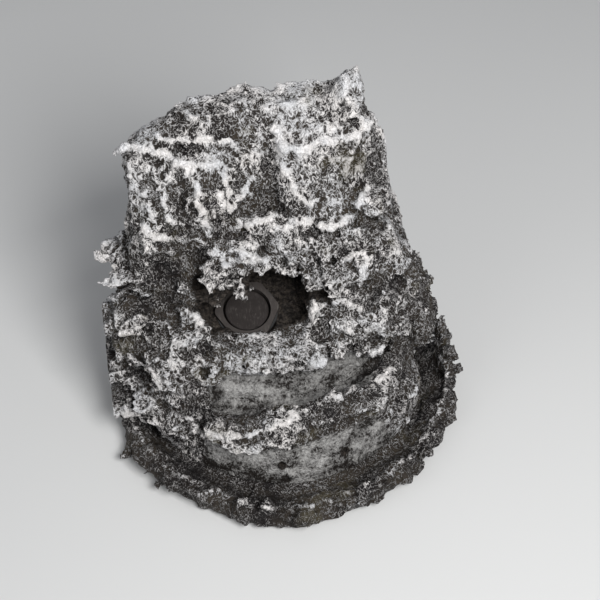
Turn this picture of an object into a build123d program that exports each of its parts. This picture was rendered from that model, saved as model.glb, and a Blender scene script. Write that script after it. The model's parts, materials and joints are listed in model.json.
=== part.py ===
from build123d import *
import math
import os

# Waterfall rock for a terrarium or turtle tank, cast in resin.
# A shallow base casting holds the water and a small submersible pump. A hollow rock casting
# stands in it and lifts straight off. The pump sends water up a short hose to a collar in the
# floor of the cave. The water wells up round the loose cap in that collar, runs over the cave's
# sill into the middle basin, over its lip into the lower basin, and back under the rock through
# two small holes in the skirt.
# Millimetres. +Z is up, -Y is the front. The origin is under the middle of the footprint.

# Whole object
WIDTH = 214.0
DEPTH = 176.0
HEIGHT = 215.0

# Base casting
PAD_H = 3.0
PAD_R = 8.0
PAD_X, PAD_Y_FRONT, PAD_Y_BACK = 66.0, -44.0, 54.0
FLOOR_T = 4.0
FLOOR_Z = PAD_H + FLOOR_T
RIM_Z = 20.0
RIM_CREST, RIM_FOOT = 8.0, 19.0
SIDE_RIM_Z = 42.0

# Rock casting
WALL = 6.0
SEAT_GAP = 0.3
SKIRT_Z = FLOOR_Z + SEAT_GAP
LIP_Z = 50.0
TROUGH_Z = 37.0
SILL_Z = 80.0
CHAMBER_Z = 66.0
RETURN_HOLE_R, RETURN_HOLE_Z = 2.0, 21.0
RETURN_HOLE_X = (-11.0, 28.0)
NOTCH_X, NOTCH_W, NOTCH_Z = 52.0, 12.0, 30.0

# Outlet collar in the cave floor: its axis leans forward
COLLAR = Vector(-21.5, 24.0, 74.0)
COLLAR_LEAN = 12.0
FLANGE_R = 20.0
FLANGE_T = 2.5
GASKET_T = 1.0
BOSS_R = 16.5
BOSS_DEPTH = 10.0
WELL_R = 14.4
WELL_DEPTH = 8.0
CAP_R = 13.0
CAP_T = 3.0
CAP_DROP = 1.2
LEG_R = 1.5
LEG_RING = 8.5

# Hose between the pump nozzle and the collar's stem
STEM_Y = 26.0
STEM_OD, STEM_ID = 8.0, 5.0
STEM_BOTTOM = 50.0
HOSE_OD = 12.0
HOSE_FIT = 0.08
HOSE_TOP = 62.0
HOSE_BEND_R = 13.0

# Pump. Its pieces are drawn about the rotor: the origin is on the rotor's axis, where the front
# half of the case meets the rear half, and the rotor's axis is Y.
PUMP = Pos(20.0, 32.0, 23.0)
PUMP_HALF_W = 15.0
PUMP_FOOT, PUMP_HEAD = -12.0, 18.0
CASE_WALL = 1.5
CASE_ROUND = 2.0
DIAL_Y, GRILLE_Y, VOLUTE_Y, BACK_Y = -20.3, -18.0, -12.0, 24.0
DIAL_T = 2.0
POTTING_T = 3.0
VOLUTE_R = 9.5
ROTOR_WELL_R = 7.2
SHAFT_R = 1.0
PIVOT_R = 1.5
NOZZLE_Y, NOZZLE_Z = STEM_Y - 32.0, 1.0
NOZZLE_TIP = -27.0
CORE_Y0, CORE_Y1 = 9.0, 17.0
YOKE_Z0, YOKE_Z1 = 12.0, 14.5
GLAND_X, GLAND_Z, GLAND_R = 9.0, 12.0, 3.5
CUP_R = 6.0
CUP_H = PUMP.position.Z + PUMP_FOOT - FLOOR_Z
CUP_PLACES = [(x, y) for y in (8.0, 20.5) for x in (-9.0, 9.0)]


def save(name, shape):
    shape.label = name
    export_step(shape, f"parts/{name}.step")


def box(x0, x1, y0, y1, z0, z1):
    """A box between two opposite corners."""
    size = (x1 - x0, y1 - y0, z1 - z0)
    middle = ((x0 + x1) / 2, (y0 + y1) / 2, (z0 + z1) / 2)
    return Pos(*middle) * Box(*size)


def along_y(radius, y0, y1, x=0.0, z=0.0):
    """A cylinder on an axis parallel to Y, such as the rotor's."""
    return Pos(x, (y0 + y1) / 2, z) * Rot(90, 0, 0) * Cylinder(radius, y1 - y0)


def upright(radius, x, y, z0, z1):
    return Pos(x, y, (z0 + z1) / 2) * Cylinder(radius, z1 - z0)


def layer(points, z):
    """A flat polygon at one height."""
    outline = Polyline([Vector(x, y, z) for x, y in points], close=True)
    return make_face(outline)


def mass(*layers):
    """A faceted lump of rock through polygons at rising heights, each (height, points)."""
    return loft([layer(points, z) for z, points in layers], ruled=True)


def wavy_ring(half_x, half_y, corners, waves):
    """An uneven oval, squarer behind than in front, that reaches half_x and half_y on every side."""
    ring = []
    for k in range(corners):
        turn = math.tau * k / corners
        power = BACK_POWER if turn < math.pi else FRONT_POWER
        reach = (abs(math.cos(turn)) ** power + abs(math.sin(turn)) ** power) ** (-1 / power)
        reach *= 1 + sum(size * math.sin(count * turn + start) for size, count, start in waves)
        ring.append((reach * math.cos(turn), reach * math.sin(turn)))
    x0, x1 = min(x for x, _ in ring), max(x for x, _ in ring)
    y0, y1 = min(y for _, y in ring), max(y for _, y in ring)
    mid_x, mid_y = (x0 + x1) / 2, (y0 + y1) / 2
    scale_x, scale_y = 2 * half_x / (x1 - x0), 2 * half_y / (y1 - y0)
    return [((x - mid_x) * scale_x, (y - mid_y) * scale_y) for x, y in ring]


# --- Base casting -------------------------------------------------------------------------

BACK_POWER, FRONT_POWER = 2.6, 1.8
BASE_WAVES = ((0.012, 3, 0.4), (0.010, 7, 1.1))
BASE_CORNERS = 36


def base_ring(inset):
    return wavy_ring(WIDTH / 2 - inset, DEPTH / 2 - inset, BASE_CORNERS, BASE_WAVES)


def side_rim():
    """The taller rocks of the rim, right of and behind the seat of the rock casting."""
    low = [(91, -24), (101, -8), (104, 14), (101, 34), (91, 54), (78, 66), (84, 48), (92, 24)]
    high = [(94, -6), (99, 6), (101, 18), (98, 34), (89, 50), (82, 56), (85, 44), (93, 24)]
    return mass((FLOOR_Z, low), (SIDE_RIM_Z, high))


def base_basin():
    tray = mass((PAD_H, base_ring(0)), (RIM_Z - 4, base_ring(0)), (RIM_Z, base_ring(3)))
    hollow = mass((FLOOR_Z, base_ring(RIM_FOOT)), (RIM_Z + 1, base_ring(RIM_CREST)))
    seat = [(z, skirt_ring(90, -64, 79)) for z in (FLOOR_Z, RIM_Z + 1)]
    return tray - hollow - mass(*seat) + side_rim()


def foot_pad(x, y):
    return upright(PAD_R, x, y, 0, PAD_H)


# --- Rock casting -------------------------------------------------------------------------

SKIRT_WAVES = ((0.015, 4, 0.2), (0.012, 9, 0.7))
SKIRT_CORNERS = 32


def skirt_ring(half_x, front, back):
    ring = wavy_ring(half_x, (back - front) / 2, SKIRT_CORNERS, SKIRT_WAVES)
    return [(x, y + (front + back) / 2) for x, y in ring]


def skirt():
    """The lower body, from the seat up to the lip of the middle basin."""
    return mass((SKIRT_Z, skirt_ring(85, -61, 74)), (LIP_Z, skirt_ring(76, -49, 76)))


def tower():
    foot = [(-80, 16), (-50, 2), (-15, 4), (25, 0), (60, 6)]
    foot += [(80, 26), (78, 56), (48, 74), (-40, 74), (-78, 56)]
    cave_roof = [(-86, 30), (-52, 24), (-18, 22), (20, 26), (55, 28)]
    cave_roof += [(78, 36), (76, 62), (48, 80), (-40, 80), (-84, 62)]
    middle = [(-83, 44), (-56, 38), (-30, 34), (5, 42), (40, 40)]
    middle += [(62, 46), (66, 66), (46, 82), (-40, 81), (-80, 66)]
    shoulder = [(-80, 54), (-56, 48), (-30, 48), (4, 53), (34, 52)]
    shoulder += [(52, 58), (56, 70), (44, 83), (-40, 82), (-74, 70)]
    top = [(-58, 66), (-40, 63), (-20, 62), (8, 65), (34, 63)]
    top += [(44, 66), (48, 74), (40, 82), (-30, 81), (-54, 74)]
    return mass((44, foot), (100, cave_roof), (150, middle), (184, shoulder), (198, top))


def peak():
    foot = [(18, 64), (34, 61), (48, 62), (52, 72), (44, 82), (24, 82)]
    top = [(36, 68), (41, 65), (47, 66), (49, 72), (45, 77), (38, 76)]
    return mass((186, foot), (HEIGHT, top))


def sill_block():
    """Rocks in front of the cave, between its sill and the middle basin."""
    foot = [(-50, -12), (-20, -16), (12, -10), (44, 2), (56, 30), (-56, 30)]
    top = [(-44, 0), (-20, -3), (10, -2), (30, 6), (40, 30), (-50, 30)]
    return mass((LIP_Z - 4, foot), (SILL_Z, top))


def left_flank():
    return mass(
        (26, [(-98, 14), (-70, -16), (-60, 20), (-64, 62), (-92, 58)]),
        (60, [(-104, 16), (-74, -10), (-60, 20), (-64, 64), (-98, 60)]),
        (90, [(-98, 32), (-74, 6), (-62, 26), (-66, 70), (-94, 66)]),
        (118, [(-96, 44), (-80, 34), (-70, 40), (-72, 70), (-90, 66)]),
    )


def right_flank():
    return mass(
        (30, [(30, -12), (62, -24), (80, -4), (88, 22), (78, 50), (40, 50)]),
        (52, [(26, -8), (62, -10), (80, 4), (86, 26), (80, 54), (40, 54)]),
        (92, [(22, 8), (58, 6), (74, 16), (82, 36), (80, 60), (40, 56)]),
        (120, [(34, 30), (58, 26), (70, 34), (76, 44), (72, 64), (44, 60)]),
    )


def left_front():
    """The column of lumps left of the cave."""
    return mass(
        (30, [(-84, -8), (-64, -26), (-48, -18), (-46, 20), (-80, 30)]),
        (64, [(-80, 0), (-62, -12), (-47, -6), (-46, 26), (-78, 36)]),
        (98, [(-78, 24), (-60, 14), (-50, 18), (-48, 34), (-76, 40)]),
    )


def middle_trough():
    """Room for water behind the lip, with a floor and a sloping back wall."""
    lip_side = [(-57, -25), (-36, -38), (0, -37), (34, -27), (58, -12)]
    back_foot = [(50, 0), (32, -9), (8, -19), (-20, -24), (-46, -18)]
    back_top = [(62, 6), (38, 2), (12, -7), (-18, -10), (-48, -6)]
    return mass((TROUGH_Z, lip_side + back_foot), (LIP_Z + 6, lip_side + back_top))


def cave():
    """The mouth, seen from the front, run back into a wider chamber with the leaning floor."""
    mouth = [(-44, 80), (-30, 77), (15, 79), (18, 88), (16, 99), (12, 110)]
    mouth += [(-4, 105), (-14, 106), (-22, 102), (-28, 95), (-42, 91)]
    face = make_face(Polyline([Vector(x, -20, z) for x, z in mouth], close=True))
    room = box(-45, 27, 3, 52, 60, 102)
    above_floor = lean() * box(-80, 80, -60, 60, 0, 60)
    return extrude(face, amount=60, dir=(0, 1, 0)) + (room & above_floor)


def sump():
    """The hollow under the rock, where the pump stands."""
    under_trough = TROUGH_Z - WALL
    low = mass((SKIRT_Z - 1, skirt_ring(79, -54, 68)), (under_trough, skirt_ring(74, -43, 68)))
    foot = [(-60, -9), (-20, -15), (8, -11), (33, 0), (52, 9), (58, 60), (36, 67), (-36, 67), (-60, 56)]
    head = [(-60, 12), (-20, 6), (10, 6), (32, 16), (50, 24), (56, 60), (36, 69), (-36, 69), (-60, 58)]
    return low + mass((under_trough, foot), (CHAMBER_Z, head))


def tower_hollow():
    """Space inside the tower, behind and above the cave."""
    foot = [(-58, 58), (50, 58), (52, 62), (36, 69), (-36, 69), (-60, 61)]
    behind = [(-70, 58), (50, 58), (60, 61), (44, 73), (-38, 73), (-74, 61)]
    above = [(-72, 50), (-50, 43), (0, 49), (44, 49), (62, 54), (58, 62), (42, 74), (-38, 74), (-74, 61)]
    top = [(-70, 62), (-50, 59), (0, 61), (34, 61), (44, 63), (46, 68), (40, 76), (-38, 75), (-66, 67)]
    return mass((CHAMBER_Z - 1, foot), (108, behind)) + mass((108, above), (174, top))


def rock_body():
    outside = skirt() + tower() + peak() + sill_block() + left_flank() + right_flank() + left_front()
    rock = outside - middle_trough() - cave() - sump() - tower_hollow()
    rock -= lean() * Cylinder(BOSS_R + 0.1, 60)
    notch = box(NOTCH_X - NOTCH_W / 2, NOTCH_X + NOTCH_W / 2, 40, 90, SKIRT_Z - 1, NOTCH_Z)
    rock -= notch
    for x in RETURN_HOLE_X:
        rock -= along_y(RETURN_HOLE_R, -80, -40, x=x, z=RETURN_HOLE_Z)
    return rock


# --- Outlet in the cave floor -------------------------------------------------------------


def lean():
    """The collar's own frame: origin on the cave floor, Z along the leaning axis."""
    return Pos(COLLAR) * Rot(COLLAR_LEAN, 0, 0)


def stem_top():
    """Height at which the vertical stem meets the leaning boss."""
    below = BOSS_DEPTH - GASKET_T
    return COLLAR.Z - below + 1


def outlet_collar():
    seat = GASKET_T
    hexagon = extrude(fillet(RegularPolygon(FLANGE_R, 6).vertices(), 5), FLANGE_T)
    boss = Pos(0, 0, (seat - BOSS_DEPTH) / 2) * Cylinder(BOSS_R, BOSS_DEPTH + seat)
    dish = Pos(0, 0, seat) * hexagon + boss
    well_floor = seat + FLANGE_T - WELL_DEPTH
    dish -= Pos(0, 0, well_floor + 15) * Cylinder(WELL_R, 30)
    stem = upright(STEM_OD / 2, COLLAR.X, STEM_Y, STEM_BOTTOM, stem_top())
    bore = upright(STEM_ID / 2, COLLAR.X, STEM_Y, STEM_BOTTOM - 1, COLLAR.Z + 1)
    return lean() * dish + stem - bore


def collar_gasket():
    ring = Cylinder(BOSS_R + 2.0, GASKET_T) - Cylinder(BOSS_R, GASKET_T + 1)
    return lean() * Pos(0, 0, GASKET_T / 2) * ring


def outlet_cap():
    top = GASKET_T + FLANGE_T - CAP_DROP
    foot = GASKET_T + FLANGE_T - WELL_DEPTH
    disc = Pos(0, 0, top - CAP_T / 2) * Cylinder(CAP_R, CAP_T)
    disc = chamfer(disc.edges().group_by(Axis.Z)[-1], 0.5)
    disc -= Pos(4.5, -CAP_R, top) * Cylinder(1.6, 2)
    leg_h = top - CAP_T - foot - 0.1
    for k in range(3):
        turn = math.radians(90 + 120 * k)
        place = Pos(LEG_RING * math.cos(turn), LEG_RING * math.sin(turn), foot + 0.1 + leg_h / 2)
        disc += place * Cylinder(LEG_R, leg_h)
    return lean() * disc


def supply_hose():
    start = Vector(PUMP.position.X - PUMP_HALF_W, STEM_Y, PUMP.position.Z + NOZZLE_Z)
    corner = Vector(COLLAR.X, STEM_Y, start.Z)
    end = Vector(COLLAR.X, STEM_Y, HOSE_TOP)
    path = FilletPolyline(start, corner, end, radius=HOSE_BEND_R)
    mouth = Plane(origin=start, z_dir=(-1, 0, 0))
    tube = sweep(mouth * Circle(HOSE_OD / 2), path=path)
    tube -= sweep(mouth * Circle(STEM_OD / 2), path=path)
    socket = upright(STEM_OD / 2 + HOSE_FIT, COLLAR.X, STEM_Y, STEM_BOTTOM - 2, HOSE_TOP + 1)
    return tube - socket


# --- Pump ---------------------------------------------------------------------------------


def case_block(y0, y1, inset=0.0):
    """A slice of the pump's square case, or of its inside."""
    half = PUMP_HALF_W - inset
    return box(-half, half, y0, y1, PUMP_FOOT + inset, PUMP_HEAD - inset)


def case_slice(y0, y1):
    """The same with its four long edges rounded."""
    block = case_block(y0, y1)
    return fillet(block.edges().filter_by(Axis.Y), CASE_ROUND)


def pump_housing():
    """The rear half: a box for the windings round a blind well for the rotor."""
    well_end = 20.0
    case = case_slice(0, BACK_Y) - case_block(2, BACK_Y + 1, inset=CASE_WALL)
    case += along_y(ROTOR_WELL_R + 1, 0, well_end)
    case -= along_y(ROTOR_WELL_R, -1, well_end - 1)
    for x, y in CUP_PLACES:
        case -= upright(1.5, x, y, PUMP_FOOT - 1, PUMP_FOOT + CASE_WALL)
    return case


def pump_stator_core():
    core = box(-12, 12, CORE_Y0, CORE_Y1, -10.2, YOKE_Z1)
    core -= along_y(ROTOR_WELL_R + 1.1, CORE_Y0 - 1, CORE_Y1 + 1)
    return core - box(-7.5, 7.5, CORE_Y0 - 1, CORE_Y1 + 1, 5, YOKE_Z0)


def pump_coil():
    """The winding on the core's top bar."""
    winding = box(-7, 7, CORE_Y0 - 2, CORE_Y1 + 2, YOKE_Z0 - 2, YOKE_Z1 + 1.9)
    return winding - box(-8, 8, CORE_Y0, CORE_Y1, YOKE_Z0, YOKE_Z1)


def pump_potting():
    """The resin plug that seals the windings in."""
    fill = case_block(BACK_Y - POTTING_T, BACK_Y, inset=CASE_WALL)
    return fill - along_y(GLAND_R - 1, BACK_Y - 5, BACK_Y + 1, x=GLAND_X, z=GLAND_Z)


def pump_cable_gland():
    neck = along_y(GLAND_R - 1, BACK_Y - POTTING_T, BACK_Y, x=GLAND_X, z=GLAND_Z)
    collar = along_y(GLAND_R, BACK_Y, BACK_Y + 3, x=GLAND_X, z=GLAND_Z)
    return neck + collar - along_y(1.5, BACK_Y - 2, BACK_Y + 4, x=GLAND_X, z=GLAND_Z)


def pump_volute():
    """The front half: the impeller's chamber, with intake holes and the outlet nozzle."""
    face = 2.0
    body = case_slice(VOLUTE_Y, 0) - along_y(VOLUTE_R, VOLUTE_Y + face, 1)
    body -= along_y(2.2, VOLUTE_Y - 1, VOLUTE_Y + 3)
    for k in range(6):
        turn = math.radians(60 * k)
        x, z = 5 * math.cos(turn), 5 * math.sin(turn)
        body -= along_y(1.6, VOLUTE_Y - 1, VOLUTE_Y + 3, x=x, z=z)
    body -= along_y(12, -1.8, 1) - along_y(10, -3, 2)
    tip_to_case = (NOZZLE_TIP - PUMP_HALF_W) / 2
    nozzle = Pos(tip_to_case, NOZZLE_Y, NOZZLE_Z) * Rot(0, 90, 0)
    body += nozzle * Cylinder(STEM_OD / 2, -NOZZLE_TIP - PUMP_HALF_W)
    return body - Pos(8, 0, 0) * nozzle * Cylinder(STEM_ID / 2, -NOZZLE_TIP + 1)


def pump_seal():
    return Plane(origin=(0, -0.9, 0), z_dir=(0, 1, 0)).location * Torus(11.0, 0.88)


def pump_intake_grille():
    cover = case_slice(GRILLE_Y, VOLUTE_Y)
    cover -= case_block(GRILLE_Y + CASE_WALL, VOLUTE_Y + 1, inset=CASE_WALL)
    for row in range(-2, 3):
        z = 3.2 * row
        reach = 7.5 if abs(row) < 2 else 5.0
        cover -= box(2.5, reach, GRILLE_Y - 1, GRILLE_Y + 2, z - 0.8, z + 0.8)
        cover -= box(-reach, -2.5, GRILLE_Y - 1, GRILLE_Y + 2, z - 0.8, z + 0.8)
    return cover + along_y(PIVOT_R, DIAL_Y, GRILLE_Y)


def pump_flow_dial():
    """A turning shutter over the grille's slots."""
    hub, rim = 2.6, 8.4
    back = DIAL_Y + DIAL_T
    disc = along_y(10, DIAL_Y, back) - along_y(PIVOT_R + 0.05, DIAL_Y - 1, back + 1)
    window = along_y(rim, DIAL_Y - 1, back + 1) - along_y(hub, DIAL_Y - 2, back + 2)
    window &= box(-10, 10, DIAL_Y - 1, back + 1, -6, 6)
    bar = box(-1.6, 1.6, DIAL_Y - 1, back + 1, -10, 10)
    return disc - (window - bar) + box(-1, 1, DIAL_Y, back, 9, 13)


def pump_impeller():
    blades, blade_r = 6, 8.3
    body = along_y(3, -8, 6.5) + along_y(blade_r, -1.6, -0.6) + along_y(1.8, 6, 18)
    for k in range(blades):
        body += Rot(0, 360 / blades * k, 0) * box(0, blade_r, -8, -1, -0.5, 0.5)
    return body - along_y(SHAFT_R + 0.05, -9, 19)


def pump_rotor_magnet():
    return along_y(6.4, 6.5, 18) - along_y(1.8, 6, 19)


def pump_shaft():
    return along_y(SHAFT_R, VOLUTE_Y + 1, 18.9)


def pump_bush_front():
    return along_y(2.2, VOLUTE_Y, VOLUTE_Y + 3) - along_y(SHAFT_R, VOLUTE_Y + 1, VOLUTE_Y + 4)


def pump_bush_rear():
    return along_y(2.2, 18.2, 19) - along_y(SHAFT_R, 17, 18.9)


def suction_cup(x, y):
    cup = Pos(x, y, PUMP_FOOT - CUP_H / 2)
    cone = cup * Cone(CUP_R, 2.5, CUP_H) - cup * Pos(0, 0, -1) * Cone(CUP_R - 1.2, 1.0, 2)
    return cone + upright(1.5, x, y, PUMP_FOOT, PUMP_FOOT + CASE_WALL)


# --- Write every piece --------------------------------------------------------------------

os.makedirs("parts", exist_ok=True)
for maker in (base_basin, rock_body, outlet_collar, collar_gasket, outlet_cap, supply_hose):
    save(maker.__name__, maker())

for maker in (
    pump_housing,
    pump_stator_core,
    pump_coil,
    pump_potting,
    pump_cable_gland,
    pump_volute,
    pump_seal,
    pump_intake_grille,
    pump_flow_dial,
    pump_impeller,
    pump_rotor_magnet,
    pump_shaft,
    pump_bush_front,
    pump_bush_rear,
):
    save(maker.__name__, PUMP * maker())

for (x, y), name in zip(CUP_PLACES, ("front_left", "front_right", "rear_left", "rear_right")):
    save(f"suction_cup_{name}", PUMP * suction_cup(x, y))

for end, y in (("front", PAD_Y_FRONT), ("rear", PAD_Y_BACK)):
    for hand, side in (("left", -1), ("right", 1)):
        save(f"foot_pad_{end}_{hand}", foot_pad(side * PAD_X, y))
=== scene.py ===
import json
import math

import bpy
import numpy as np
import openvdb
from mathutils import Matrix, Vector


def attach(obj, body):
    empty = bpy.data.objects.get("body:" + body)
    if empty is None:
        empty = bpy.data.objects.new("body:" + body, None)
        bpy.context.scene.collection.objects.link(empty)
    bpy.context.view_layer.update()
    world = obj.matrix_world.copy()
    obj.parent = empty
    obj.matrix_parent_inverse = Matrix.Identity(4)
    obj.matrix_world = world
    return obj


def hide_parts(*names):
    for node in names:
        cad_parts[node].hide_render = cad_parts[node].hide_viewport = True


# The waterfall rock. Both castings are modelled as grids of signed distance, negative inside the
# resin: broad masses first, then boulders, ridges and clefts, then fine craggy relief. Lengths in
# the sculpting code are millimetres in the CAD frame; meshes are handed over in metres.

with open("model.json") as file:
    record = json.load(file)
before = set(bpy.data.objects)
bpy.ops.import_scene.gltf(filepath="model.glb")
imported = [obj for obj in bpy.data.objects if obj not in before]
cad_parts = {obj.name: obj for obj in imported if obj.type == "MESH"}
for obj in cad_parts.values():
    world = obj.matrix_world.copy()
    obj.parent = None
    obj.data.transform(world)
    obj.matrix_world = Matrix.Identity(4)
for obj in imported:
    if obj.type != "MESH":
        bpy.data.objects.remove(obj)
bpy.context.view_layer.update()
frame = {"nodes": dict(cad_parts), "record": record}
MM = 0.001
STEP = 1.0
FAR = 60.0

# Sizes that both the sculpting and the CAD hold to.
COLLAR = np.array([-21.5, 24.0, 74.0])
COLLAR_LEAN = math.radians(12)
WELL_RADIUS, WELL_REACH = 17.2, 26
SEAT_RADIUS, SEAT_HALF_DEPTH = 20.8, 2.4
RETURN_HOLES_X, RETURN_HOLE_Z, RETURN_HOLE_RADIUS = (-11, 28), 21, 2.0
NOTCH_X, NOTCH_HALF_WIDTH, NOTCH_TOP = 52, 6, 30
ROCK_FOOT_Z, LEAST_WALL = 7.4, 2.2
BASE_FOOT_Z, TRAY_FLOOR_Z = 3.0, 7
BASE_HALF_X, BASE_HALF_Y = 105.5, 87

GOLDEN_ANGLE = 2.39996

# The camera's place. Lines seen on the front are laid on the face along rays from here.
EYE = np.array([-72.8, -493.2, 749.8])


# --- Signed distance tools ----------------------------------------------------------------


class Casting:
    """A grid of signed distances for one casting, in millimetres."""

    def __init__(self, low, high):
        self.low = np.array(low, np.float32)
        counts = np.ceil((np.array(high) - self.low) / STEP).astype(int) + 1
        self.axes = [a + STEP * np.arange(n, dtype=np.float32) for a, n in zip(self.low, counts)]
        self.distance = np.full(counts, FAR, np.float32)

    def window(self, low, high):
        """The part of the grid inside a box: its slices, and its x, y and z as open arrays."""
        slices = []
        for axis, a, b in zip(self.axes, low, high):
            first, last = np.searchsorted(axis, a), np.searchsorted(axis, b)
            slices.append(slice(int(first), int(max(last, first))))
        x, y, z = (axis[s] for axis, s in zip(self.axes, slices))
        return tuple(slices), x[:, None, None], y[None, :, None], z[None, None, :]

    def everywhere(self):
        x, y, z = self.axes
        return x[:, None, None], y[None, :, None], z[None, None, :]

    def add(self, part, blend=3.0):
        place, shape = part
        self.distance[place] = smooth_min(self.distance[place], shape, blend)

    def cut(self, part, blend=1.0):
        place, shape = part
        self.distance[place] = -smooth_min(-self.distance[place], shape, blend)


def smooth_min(a, b, blend):
    share = np.clip(0.5 + 0.5 * (b - a) / blend, 0, 1)
    return b + (a - b) * share - blend * share * (1 - share)


def smooth_step(low, high, value):
    t = np.clip((value - low) / (high - low), 0, 1)
    return t * t * (3 - 2 * t)


def outline_distance(x, y, outline):
    """Signed distance to a closed outline in the XY plane."""
    nearest = np.full(np.broadcast(x, y).shape, 1e9, np.float32)
    inside = np.zeros(nearest.shape, bool)
    for (ax, ay), (bx, by) in zip(outline, np.roll(outline, -1, axis=0)):
        ex, ey = bx - ax, by - ay
        px, py = x - ax, y - ay
        along = np.clip((px * ex + py * ey) / (ex * ex + ey * ey + 1e-9), 0, 1)
        nearest = np.minimum(nearest, (px - ex * along) ** 2 + (py - ey * along) ** 2)
        if ey != 0:
            inside ^= ((ay > y) != (by > y)) & (px < ex * py / ey)
    return np.where(inside, -1, 1) * np.sqrt(nearest)


def loft(casting, *layers, reach=14.0):
    """A mass whose outline changes with height. Each layer is (height, outline)."""
    heights = [height for height, _ in layers]
    outlines = np.array([outline for _, outline in layers], float)
    low = (*(outlines.min((0, 1)) - reach), heights[0] - reach)
    high = (*(outlines.max((0, 1)) + reach), heights[-1] + reach)
    place, x, y, z = casting.window(low, high)
    shape = np.empty((x.size, y.size, z.size), np.float32)
    levels = np.interp(z.ravel(), heights, np.arange(len(heights)))
    for k, level in enumerate(levels):
        i = min(int(level), len(heights) - 2)
        outline = outlines[i] + (level - i) * (outlines[i + 1] - outlines[i])
        shape[:, :, k] = outline_distance(x[:, :, 0], y[:, :, 0], outline)
    return place, np.maximum(shape, np.maximum(heights[0] - z, z - heights[-1]))


def boulder(casting, centre, radii, rng, facets=10):
    """A lump with flat facets, cut by planes that face every way round its centre."""
    centre, radii = np.array(centre, float), np.array(radii, float)
    reach = radii.max() * 1.2 + 4
    place, x, y, z = casting.window(centre - reach, centre + reach)
    u, v, w = ((p - c) / r for p, c, r in zip((x, y, z), centre, radii))
    shape = np.sqrt(u * u + v * v + w * w) - 1.05
    turn = rng.uniform(0, math.tau)
    for k in range(facets):
        height = 1 - 2 * (k + 0.5) / facets
        around = turn + GOLDEN_ANGLE * k + rng.uniform(-0.3, 0.3)
        flat = math.sqrt(1 - height * height)
        facing = flat * math.cos(around) * u + flat * math.sin(around) * v + height * w
        shape = np.maximum(shape, facing - rng.uniform(0.62, 0.9))
    return place, shape * radii.min()


def stroke(casting, points, radii):
    """A rounded rod along points, whose radius changes from point to point."""
    points, radii = np.array(points, float), np.array(radii, float)
    reach = radii.max() + 5
    place = casting.window(points.min(0) - reach, points.max(0) + reach)[0]
    shape = np.full([s.stop - s.start for s in place], FAR, np.float32)
    for a, b, ra, rb in zip(points[:-1], points[1:], radii[:-1], radii[1:]):
        e = b - a
        near, x, y, z = casting.window(np.minimum(a, b) - reach, np.maximum(a, b) + reach)
        px, py, pz = x - a[0], y - a[1], z - a[2]
        along = np.clip((px * e[0] + py * e[1] + pz * e[2]) / (e @ e + 1e-9), 0, 1)
        away = (px - e[0] * along) ** 2 + (py - e[1] * along) ** 2 + (pz - e[2] * along) ** 2
        part = tuple(slice(n.start - p.start, n.stop - p.start) for n, p in zip(near, place))
        shape[part] = np.minimum(shape[part], np.sqrt(away) - (ra + (rb - ra) * along))
    return place, shape


def point_along(path, share):
    """The point at a share of a path's length."""
    path = np.array(path, float)
    runs = np.linalg.norm(np.diff(path, axis=0), axis=1)
    ends = np.concatenate([[0], np.cumsum(runs)])
    return np.array([np.interp(share * ends[-1], ends, path[:, i]) for i in range(3)])


def rocks_along(casting, path, count, size, seed, flat=1.0, spread=1.5, blend=2.0):
    """A row of boulders of uneven size."""
    rng = np.random.default_rng(seed)
    for k in range(count):
        centre = point_along(path, (k + rng.uniform(0.2, 0.8)) / count)
        centre = centre + rng.normal(0, spread, 3)
        radii = size * rng.uniform(0.7, 1.25) * rng.uniform(0.85, 1.2, 3)
        radii[2] *= flat
        casting.add(boulder(casting, centre, radii, rng), blend)


def laid_on(casting, path, spacing=2.5):
    """A path carried to the casting's face along lines from the front, in short runs."""
    length = np.linalg.norm(np.diff(np.array(path, float), axis=0), axis=1).sum()
    shares = np.linspace(0, 1, max(int(length / spacing), 1) + 1)
    points = np.array([point_along(path, share) for share in shares])
    rays = (points - EYE) / np.linalg.norm(points - EYE, axis=1)[:, None]
    for k, (point, ray) in enumerate(zip(points, rays)):
        depths = np.arange(-12, 30, 0.4)
        depth = sampled(casting, casting.distance, point + ray * depths[:, None])
        inside = np.flatnonzero(depth < 0)
        if len(inside):
            points[k] = point + ray * depths[inside[0]]
    return points


def wander(count, seed, amount):
    """A smooth uneven shift for each of a row of points."""
    steps = np.arange(count)[:, None]
    slow, fast = steps * (0.9, 1.2, 0.7), steps * (2.3, 1.9, 2.7)
    return amount * (np.sin(slow + seed) + 0.6 * np.sin(fast + seed))


def raise_crest(casting, brush_and_shade, points, radii, white):
    """Raises one ridge, and paints it as far as 2 mm above and below the face."""
    casting.add(stroke(casting, points, radii), 2.0)
    rays = (points - EYE) / np.linalg.norm(points - EYE, axis=1)[:, None]
    for depth in (-2.0, -1.0, 0.0, 1.0, 2.0):
        place, shape = stroke(casting, points + depth * rays, radii)
        brush_and_shade[place] = np.maximum(brush_and_shade[place], white * smooth_step(1.0, -0.6, shape))


def crest_line(casting, brush_and_shade, path, radius, white=1.0):
    """An uneven ridge along a path on the casting's face, with short spurs to either side."""
    path = laid_on(casting, path)
    points = laid_on(casting, path + wander(len(path), 7 * radius, 0.9))
    steps = np.arange(len(points))
    swell = 0.85 + 0.45 * np.sin(steps * 1.1 + radius) + 0.35 * np.sin(steps * 2.7)
    raise_crest(casting, brush_and_shade, points, radius * np.maximum(swell, 0.3), white)
    rng = np.random.default_rng(len(points) + int(100 * radius))
    for k in range(1, len(points), 3):
        turn, length = rng.uniform(0, math.tau), rng.uniform(3, 8)
        end = points[k] + length * np.array([math.cos(turn), 0, math.sin(turn)])
        spur = laid_on(casting, [points[k], end], 1.5)
        spur = spur + wander(len(spur), k, 0.5)
        taper = np.linspace(0.75, 0.3, len(spur))
        raise_crest(casting, brush_and_shade, spur, radius * taper, 0.8 * white)


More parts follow.
